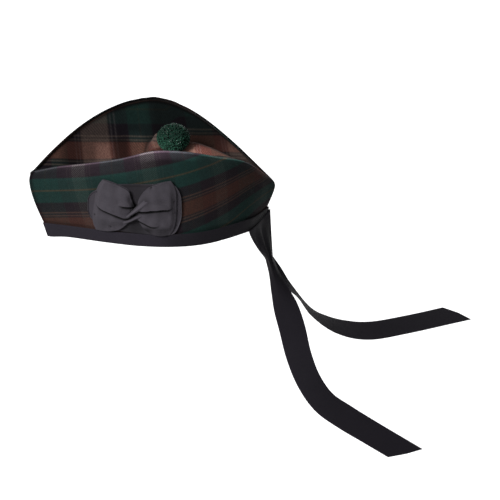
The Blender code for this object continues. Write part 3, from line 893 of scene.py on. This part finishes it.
def crease_form(creases, reach, up):
    """How far creased ribbon stands out at a place, and how much painted shade its creases give it
    there.
    """
    edge_width = 0.0009      # how softly the upper ribbon turns over
    lifted = 0.008           # how far over the crease it stays lifted
    pressed = 0.003          # how far under the crease the lower ribbon is pressed down
    shaded = 0.0026          # how far the shade reaches on it
    deep_step = 0.0016       # the step from which a crease is at its darkest
    stand = 0.0
    painted_shade = 0.0
    for crease in creases:
        if reach < crease["at"][0] or reach > crease["at"][-1]:
            continue
        over = up - read(crease, "up", reach)
        step = read(crease, "step", reach)
        edge = ease(over / edge_width + 0.5)
        stand += step * edge * math.exp(-max(over, 0.0) / lifted)
        stand -= 0.6 * step * (1 - edge) * math.exp(min(over, 0.0) / pressed)
        hidden = 0.0005 + 0.36 * step
        line = nearness(over, -hidden, 0.0007 + 0.26 * step, 4)
        shadow = math.exp(min(over + hidden, 0.0) / shaded) if over < 0 else 0.0
        darkest = min(step / deep_step, 1.0)
        painted_shade = max(painted_shade, darkest * (0.97 * line + 0.42 * shadow * (1 - line)))
    return stand, painted_shade


def bow_loop(side, ground, material):
    """One loop: a creased front layer from the knot, folded round at its outer edge."""
    source = LEFT_LOOP if side < 0 else RIGHT_LOOP
    creases = LEFT_CREASES if side < 0 else RIGHT_CREASES
    back = RIBBON + GAP
    lift = 0.0014            # how far the front layer stands off the back one
    least = 0.0010
    fold_lift = 0.0007       # and how far the outer fold itself does
    ripple_depth = 0.0005

    @lru_cache(maxsize=None)
    def spot(share, v):
        low = Vector((read(source, "low_along", share), read(source, "low_up", share)))
        high = Vector((read(source, "high_along", share), read(source, "high_up", share)))
        here = low.lerp(high, v)
        here.x += side * OUTER_BULGE * (1 - (2 * v - 1) ** 4) * share ** 2
        return here.x, here.y

    # A loop's relief and its painted shade: in and under its creases, at the tacks (their dark
    # thread and the painted shade of their dimples), round the knot, low on each loop, along the
    # right loop's turned-in edge, and on the crumpled facets, whose relief is painted as light and
    # shade too.
    @lru_cache(maxsize=None)
    def relief(share, v):
        along, up = spot(share, v)
        stand, painted_shade = crease_form(creases, side * (along - KNOT_ALONG), up)
        for tack_along, tack_up in TACKS:
            off = math.hypot(along - tack_along, up - tack_up)
            stand -= TACK_DEPTH * nearness(off, 0.0, 0.0016)
            painted_shade = max(painted_shade, 0.85 * nearness(off, 0.0, 0.0008))
        knot_shade = 0.90 * nearness(share, 0.0, 0.15, 4)
        if side > 0:
            under = (0.80 - 0.36 * ease((share - 0.40) / 0.25)) * ease((-0.0145 - up) / 0.005)
            turned_in_edge_shade = 0.42 * nearness(v, 0.80, 0.12) * ease((0.62 - share) / 0.20)
        else:
            under = 0.15 * ease((-0.006 - up) / 0.006)
            turned_in_edge_shade = 0.0
        painted_shade = max(painted_shade, knot_shade, turned_in_edge_shade, under * ease((1 - share) / 0.15))
        facets = FACETS * waves(Vector((along, up, side)), 0.0075, 4)
        return stand + facets, min(max(painted_shade - 90 * facets, 0.0), 0.97)

    def place(u, v):
        share = 1 - abs(2 * u - 1)
        along, up = spot(share, v)
        stand = 0.0
        if u < 0.5:
            puff = read(source, "puff", share) * (1 - 0.55 * (2 * v - 1) ** 2)
            ripple = math.cos(7 * math.pi * v + 1.5) * math.sin(math.pi * share)
            form = puff + ripple_depth * ripple + relief(share, v)[0]
            stand = max(lift + form * ease((1 - share) / 0.12), least)
        elif u == 0.5:
            stand = fold_lift
        return bow_point(ground, along, up, back + stand)

    def cloth(u, v):
        along, up = spot(1 - abs(2 * u - 1), v)
        return side * along, up

    def shade(u, v):
        return 1 - relief(1 - abs(2 * u - 1), v)[1]

    name = HANDS[side] + "_loop_ribbon"
    mesh = shaped_grid(name, (180, 100), place, cloth, shade, flip=side < 0)
    piece(name, mesh, material, "charcoal_ribbon", "bow_" + HANDS[side] + "_loop",
          thickness=SHEET_RIBBON)


def bow_base(ground, material):
    """The flat ribbon rosette that the loops are sewn to."""
    def place(u, v):
        low = read(BACKING, "low_up", u)
        high = read(BACKING, "high_up", u)
        rim = max(1 - min(v, 1 - v, 4 * u, 4 * (1 - u)) / 0.06, 0.0)
        stand = RIBBON + 0.0009 * rim * (2 - rim)
        return bow_point(ground, read(BACKING, "along", u), low + (high - low) * v, stand)

    def cloth(u, v):
        return u * BOW_WIDTH, v * BOW_HEIGHT

    # Painted shade on the backing between the loops, deeper towards its lower edge.
    def shade(u, v):
        shade_between_loops = 0.62 + 0.14 * ease((0.4 - v) / 0.2)
        return 1 - shade_between_loops * nearness(u, 0.51, 0.17)

    mesh = shaped_grid("cockade_backing", (120, 60), place, cloth, shade)
    piece("cockade_backing", mesh, material, "charcoal_ribbon", "cockade_base",
          thickness=SHEET_RIBBON)


def bow_twist(name, nodes, source, ground, material):
    """One of the two ribbons that twist round each other at the knot."""
    def place(u, v):
        across = 2 * v - 1
        step = 0.02
        ahead = Vector((read(source, "along", u + step), read(source, "up", u + step)))
        behind = Vector((read(source, "along", u - step), read(source, "up", u - step)))
        run = (ahead - behind).normalized()
        half = read(source, "half", u)
        along = read(source, "along", u) - run.y * half * across
        up = read(source, "up", u) + run.x * half * across
        stand = read(source, "stand", u) * (1 - 0.42 * across ** 4 - 0.10 * across ** 2)
        return bow_point(ground, along, up, stand + 0.0002 * math.cos(8 * across))

    def cloth(u, v):
        return u * 0.03, v * 0.007

    # Painted light and shade on the twisted ribbon: lighter along its middle, darker towards its
    # edges and a little at its ends.
    def shade(u, v):
        across = 2 * v - 1
        ends = max(1 - u / 0.14, 0.0) + max((u - 0.86) / 0.14, 0.0)
        return (1.25 - 0.80 * across ** 4) * (1 - 0.15 * ends)

    mesh = shaped_grid(name, (80, 24), place, cloth, shade)
    piece(name, mesh, material, "charcoal_ribbon", *nodes, thickness=SHEET_RIBBON)


# The pompom.


def pompom(material):
    """A wool tuft: a packed head with the cut ends of its yarns standing all over it."""
    yarns = 2600
    length = 0.45 * POMPOM_RADIUS
    thin = 0.0004
    thick = 0.0007
    squash = (1.09, 1.04, 0.95)
    settled = POMPOM_MIDDLE + Vector((-0.0003, 0.0, -0.0016))
    golden_turn = math.pi * (3 - math.sqrt(5))
    seeded = random.Random(7)

    def astray(amount):
        return Vector([seeded.uniform(-amount, amount) for _ in range(3)])

    form = bmesh.new()
    bmesh.ops.create_icosphere(form, subdivisions=4, radius=POMPOM_RADIUS * 0.80)
    shade = form.verts.layers.float.new("shade")
    for vertex in form.verts:
        vertex[shade] = 0.0
    for i in range(yarns):
        up = 1 - 2 * (i + 0.5) / yarns
        ring = math.sqrt(1 - up * up)
        turn = i * golden_turn
        way = Vector((ring * math.cos(turn), ring * math.sin(turn), up))
        way += astray(0.09)
        way.normalize()
        tip = POMPOM_RADIUS * seeded.uniform(0.90, 1.01)
        lean = way + astray(0.30)
        turned = lean.to_track_quat("Z", "Y").to_matrix().to_4x4()
        place = Matrix.Translation(way * (tip - length / 2)) @ turned
        made = bmesh.ops.create_cone(form, cap_ends=True, segments=5, radius1=thin,
                                     radius2=seeded.uniform(thin, thick), depth=length,
                                     matrix=place)
        # Each yarn's own tone, at random and darker towards the top of the pompom.
        top = ease((up + 0.15) / 0.75)
        tone = seeded.random() ** (1.1 + 1.2 * top) * (1 - 0.80 * top)
        # Painted shade within the tuft: each yarn fades to the deep colour towards its root, as the
        # packed head is.
        for vertex in made["verts"]:
            depth = vertex.co.length / POMPOM_RADIUS
            vertex[shade] = tone * ease((depth - 0.72) / 0.26)
    bmesh.ops.scale(form, verts=form.verts, vec=squash)
    bmesh.ops.translate(form, verts=form.verts, vec=settled)
    mesh = finished_mesh("pompom_yarn", form)
    piece("pompom_yarn", mesh, material, "green_wool", "pompom", smooth_angle=50.0)


# Materials.


class Value:
    """A number, colour or direction that changes over a surface, for use in ordinary sums."""

    def __init__(self, tree, socket=None):
        self.tree = tree
        self.socket = socket

    def node(self, kind, settings=None, sockets=None, output=0):
        """A node of one kind: its settings first, then what its sockets hold or are linked to."""
        made = self.tree.nodes.new(kind)
        for name, setting in (settings or {}).items():
            if name == "stops":
                ramp = made.color_ramp
                ramp.elements.remove(ramp.elements[1])
                ramp.elements[0].position = setting[0][0]
                ramp.elements[0].color = (*setting[0][1], 1.0)
                for at, colour in setting[1:]:
                    ramp.elements.new(at).color = (*colour, 1.0)
            else:
                setattr(made, name, setting)
        for name, held in (sockets or {}).items():
            if isinstance(held, Value):
                self.tree.links.new(held.socket, made.inputs[name])
            else:
                made.inputs[name].default_value = held
        return Value(self.tree, made.outputs[output])

    def sum(self, operation, first, second=0.0):
        return self.node("ShaderNodeMath", {"operation": operation}, {0: first, 1: second})

    def __add__(self, other):
        return self.sum("ADD", self, other)

    def __mul__(self, other):
        return self.sum("MULTIPLY", self, other)

    __radd__ = __add__
    __rmul__ = __mul__

    def __truediv__(self, other):
        return self.sum("DIVIDE", self, other)

    def __mod__(self, other):
        return self.sum("FLOORED_MODULO", self, other)

    def __lt__(self, other):
        return self.sum("LESS_THAN", self, other)

    def floor(self):
        return self.sum("FLOOR", self)

    def sine(self):
        return self.sum("SINE", self)

    def blend(self, first, second):
        """A colour from first to second as this value goes from 0 to 1."""
        return self.node("ShaderNodeMix", {"data_type": "RGBA"},
                         {0: self, 6: first, 7: second}, output=2)

    def tint(self, colour):
        """That colour, multiplied by this value."""
        return self.node("ShaderNodeVectorMath", {"operation": "SCALE"}, {0: colour, "Scale": self})

    def layout(self, name):
        """Where each place lies on one of the piece's own layouts."""
        return self.node("ShaderNodeUVMap", {"uv_map": name})

    def shade(self):
        """The light and shade painted on each place."""
        return self.node("ShaderNodeAttribute", {"attribute_name": "shade"}, output=2)

    def axis(self, number):
        """One number of a place: 0 for x and 1 for y."""
        return self.node("ShaderNodeSeparateXYZ", {}, {0: self}, output=number)

    def fuzz(self, scale, detail):
        """Unevenness from place to place, finer as its scale is larger."""
        return self.node("ShaderNodeTexNoise", {},
                         {"Vector": self, "Scale": scale, "Detail": detail})


def new_material(name, roughness, sheen=0.0, sheen_roughness=0.5, specular=0.3):
    """A material with its one shader, and a value to start sums from."""
    material = bpy.data.materials.new(name)
    material.use_nodes = True
    shader = material.node_tree.nodes["Principled BSDF"]
    settings = {"Roughness": roughness, "Metallic": 0.0, "Specular IOR Level": specular,
                "Sheen Weight": sheen, "Sheen Roughness": sheen_roughness}
    for setting, held in settings.items():
        shader.inputs[setting].default_value = held
    return material, shader, Value(material.node_tree)


def set_surface(shader, colour, height, distance):
    """Links a material's colour, and its relief through a bump."""
    tree = colour.tree
    tree.links.new(colour.socket, shader.inputs["Base Color"])
    bump = height.node("ShaderNodeBump", {},
                       {"Height": height, "Distance": distance, "Strength": 1.0})
    tree.links.new(bump.socket, shader.inputs["Normal"])


def sett_stops(wools):
    """The sett's stripes as stops from one gold line to the next, with napped edges."""
    stripes = list(HALF_SETT) + list(reversed(HALF_SETT))
    whole = sum(width for wool, width in stripes)
    at = 0.0
    stops = []
    for wool, width in stripes:
        nap = min(NAP, width / 2)
        stops.append(((at + nap) / whole, wools[wool]))
        if width > 2 * NAP:
            stops.append(((at + width - nap) / whole, wools[wool]))
        at += width
    return stops, whole / 1000


def tartan(name, weft_wools, warp_wools, warp_share, clear):
    """Twilled wool, with one sett along and across. The warp has its share of the face, and the
    threads are as clear of nap as clear says, from 0 to 1."""
    material, shader, start = new_material(name, 0.95, sheen=0.02, specular=0.03)
    flat = start.layout("cloth")
    counted = start.layout("weave")
    warp = (counted.axis(0) / THREAD).floor()
    weft = (counted.axis(1) / THREAD).floor()

    def stripes(place, wools):
        stops, whole = sett_stops(wools)
        return start.node("ShaderNodeValToRGB", {"stops": stops}, {0: (place / whole) % 1.0})

    over = ((warp + weft) % 4.0) < 4 * warp_share - 0.5
    face = over * clear + (1 - clear) * warp_share
    woven = face.blend(stripes(flat.axis(1), weft_wools), stripes(flat.axis(0), warp_wools))
    threads = start.node("ShaderNodeCombineXYZ", {}, {0: warp, 1: weft})
    thread_tone = start.node("ShaderNodeTexWhiteNoise", {"noise_dimensions": "2D"},
                             {"Vector": threads})
    fuzz = flat.fuzz(900.0, 3.0)
    patch = flat.fuzz(45.0, 2.0)
    # The threads' own uneven tone, times the painted light and shade kept on the piece.
    tone = (0.45 + 0.50 * thread_tone + 0.35 * fuzz + 0.25 * patch) * start.shade()
    set_surface(shader, tone.tint(woven), over * 0.5 + fuzz * 0.6, 0.00025)
    return material


def ribbon(name, deep, lighter, rib):
    """Fine ribbed ribbon: ribs from edge to edge, a little uneven, with a low sheen."""
    material, shader, start = new_material(name, 0.75, sheen=0.02, sheen_roughness=0.4,
                                           specular=0.06)
    flat = start.layout("cloth")
    ribs = (flat.axis(0) * (2 * math.pi / rib)).sine()
    fuzz = flat.fuzz(700.0, 4.0)
    patch = flat.fuzz(60.0, 3.0)
    mixed = fuzz * 0.5 + patch * 0.5 + ribs * 0.10
    woven = mixed.blend((*deep, 1.0), (*lighter, 1.0))
    # The ribbon's colour, times the painted light and shade kept on the piece.
    set_surface(shader, start.shade().tint(woven), ribs * 0.5 + fuzz * 0.5, 0.00016)
    return material


def yarn(name, deep, lighter):
    """Cut wool yarn, each end of its own tone and of the painted shade kept on it."""
    material, shader, start = new_material(name, 0.95, sheen=0.22, sheen_roughness=0.3,
                                           specular=0.03)
    place = start.node("ShaderNodeTexCoord", {}, output=3)
    fuzz = place.fuzz(1500.0, 3.0)
    colour = (start.shade() * 0.8 + fuzz * 0.2).blend((*deep, 1.0), (*lighter, 1.0))
    set_surface(shader, colour, fuzz, 0.0003)
    return material


# Floor, light and camera.


def plain_floor():
    """A wide pale floor under the tails."""
    form = bmesh.new()
    bmesh.ops.create_grid(form, x_segments=1, y_segments=1, size=6.0)
    bmesh.ops.translate(form, verts=form.verts, vec=(0.0, 0.0, -0.40))
    mesh = finished_mesh("floor", form)
    material, shader, start = new_material("pale_floor", 0.9)
    shader.inputs["Base Color"].default_value = (0.70, 0.70, 0.70, 1.0)
    mesh.materials.append(material)
    placed_object("floor", mesh)


def face_along(made, direction):
    """Turns a light or the camera to look one way."""
    made.rotation_mode = "QUATERNION"
    made.rotation_quaternion = direction.to_track_quat("-Z", "Y")


def light(name, towards, power):
    """A soft light from far off that shines the given way."""
    lamp = bpy.data.lights.new(name, "SUN")
    lamp.energy = power
    lamp.angle = math.radians(24.0)
    face_along(placed_object(name, lamp), Vector(towards))


def studio():
    """A main light from the left, a little forward and up, a weak one from behind, and a pale
    room."""
    light("main_light", (2.50, 1.50, -1.60), 8.6)
    light("back_light", (-0.55, -1.00, -0.45), 3.0)
    world = bpy.data.worlds.new("room")
    world.use_nodes = True
    back = world.node_tree.nodes["Background"]
    back.inputs["Color"].default_value = (1.0, 1.0, 1.0, 1.0)
    back.inputs["Strength"].default_value = 0.35
    bpy.context.scene.world = world


def camera():
    """The camera, to the front left of the cap and a little over it."""
    seen_middle = Vector((0.0905, -0.0331, -0.0234))
    distance = 2.5
    lens = bpy.data.cameras.new("camera")
    lens.lens = 180.0
    lens.sensor_width = 36.0
    made = placed_object("camera", lens)
    back = FACING.normalized()
    made.location = seen_middle + back * distance
    face_along(made, -back)
    bpy.context.scene.camera = made
    bpy.context.scene.view_settings.view_transform = "Standard"


def build():
    """The camera, the twelve pieces, the floor and the light."""
    camera()
    wool_sides = tartan("tartan_sides", SIDE_WEFT, SIDE_WARP, 0.25, 0.8)
    wool_crown = tartan("tartan_crown", CROWN_WEFT, CROWN_WARP, 0.5, 0.25)
    binding = ribbon("binding_ribbon", *BINDING_COLOURS, 0.0009)
    black = ribbon("black_ribbon", *SHADED_TAIL_COLOURS, 0.0009)
    charcoal = ribbon("charcoal_ribbon", *COCKADE_COLOURS, 0.0008)
    for side in HANDS:
        side_wall(side, wool_sides)
    crown(wool_crown)
    rim_binding(binding)
    ground = bow_ground()
    bow_base(ground, charcoal)
    for side in HANDS:
        bow_loop(side, ground, charcoal)
    bow_twist("upper_twist", ["bow_centre_fold"], UPPER_TWIST, ground, charcoal)
    bow_twist("lower_twist", [], LOWER_TWIST, ground, charcoal)
    pompom(yarn("green_yarn", *YARN_COLOURS))
    for side in HANDS:
        tail(side, black)
    plain_floor()
    studio()


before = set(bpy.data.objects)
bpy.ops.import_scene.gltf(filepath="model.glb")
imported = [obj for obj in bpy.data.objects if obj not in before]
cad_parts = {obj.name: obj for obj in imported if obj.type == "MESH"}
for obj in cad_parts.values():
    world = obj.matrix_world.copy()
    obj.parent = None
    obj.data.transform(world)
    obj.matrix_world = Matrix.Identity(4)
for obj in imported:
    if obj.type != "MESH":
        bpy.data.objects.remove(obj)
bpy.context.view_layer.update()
build()
